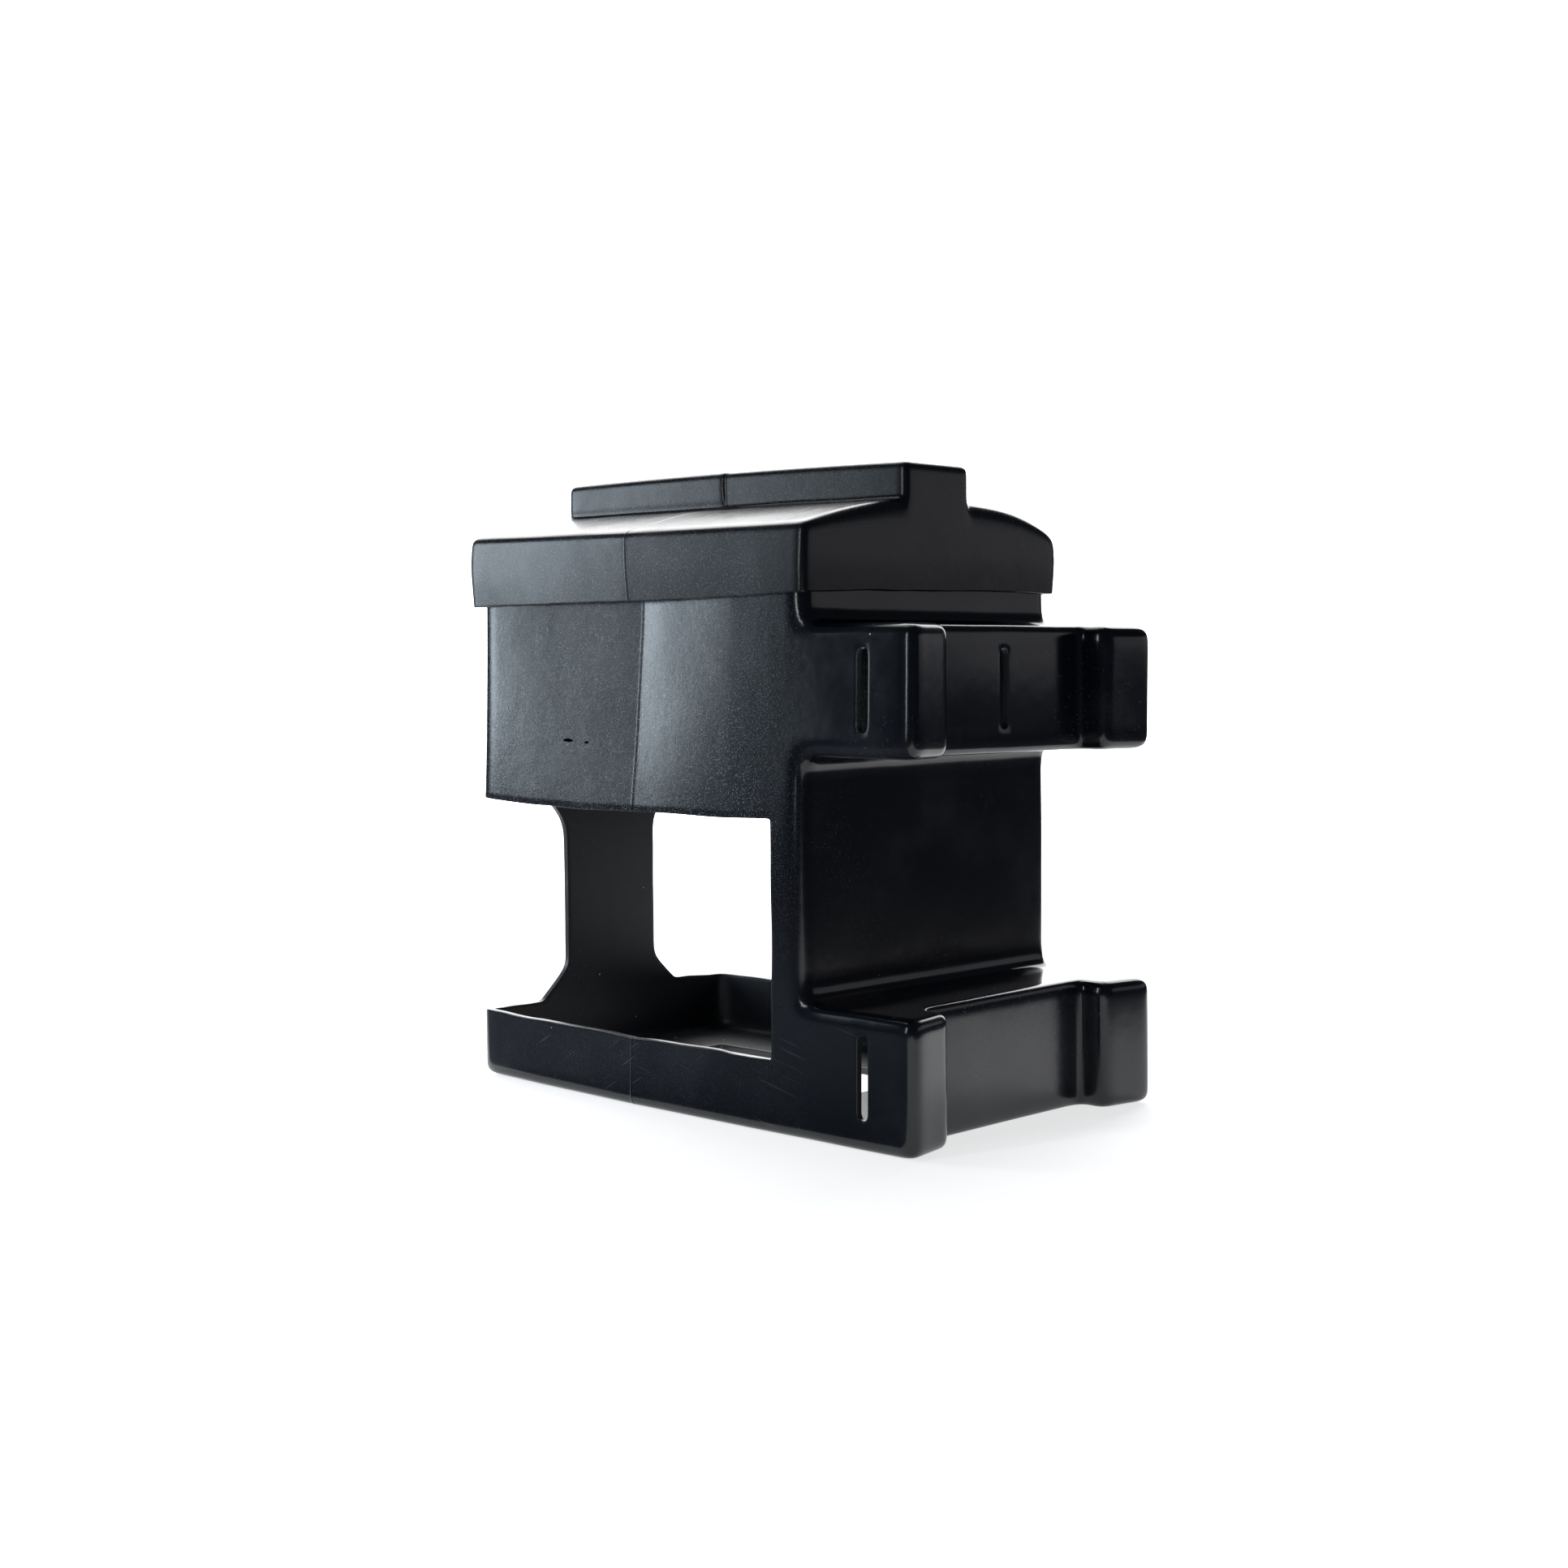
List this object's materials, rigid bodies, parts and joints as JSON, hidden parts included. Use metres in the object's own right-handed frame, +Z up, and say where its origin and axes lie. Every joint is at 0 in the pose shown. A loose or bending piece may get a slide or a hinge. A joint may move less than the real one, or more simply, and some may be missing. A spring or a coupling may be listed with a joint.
{
  "type": "post-mounted stable feed station",
  "caption": "Black moulded stable station: corner openings above a tray, a hollow chamber, slotted saddle blocks for strapping to a post, and a ridged lift-off lid.",
  "frame": {"origin": "on the ground under the middle of the whole object's box", "axes": "+X to the side with the lid's length running along Y, +Y to the back with the saddle blocks, +Z up"},
  "size_m": [0.2796, 0.436, 0.45],
  "materials": {
    "black_polyethylene": "fine cast grain, slight sheen",
    "lid_polyethylene": "fine cast grain, slight sheen"
  },
  "bodies": {
    "housing_body": {"housing": "black_polyethylene"},
    "lid_body": {"lid": "lid_polyethylene"}
  },
  "joints": [
    {"name": "lid_lift", "type": "slide", "parent": "housing_body", "child": "lid_body", "axis": [0, 0, 1], "range_m": [0, 0.12]}
  ]
}
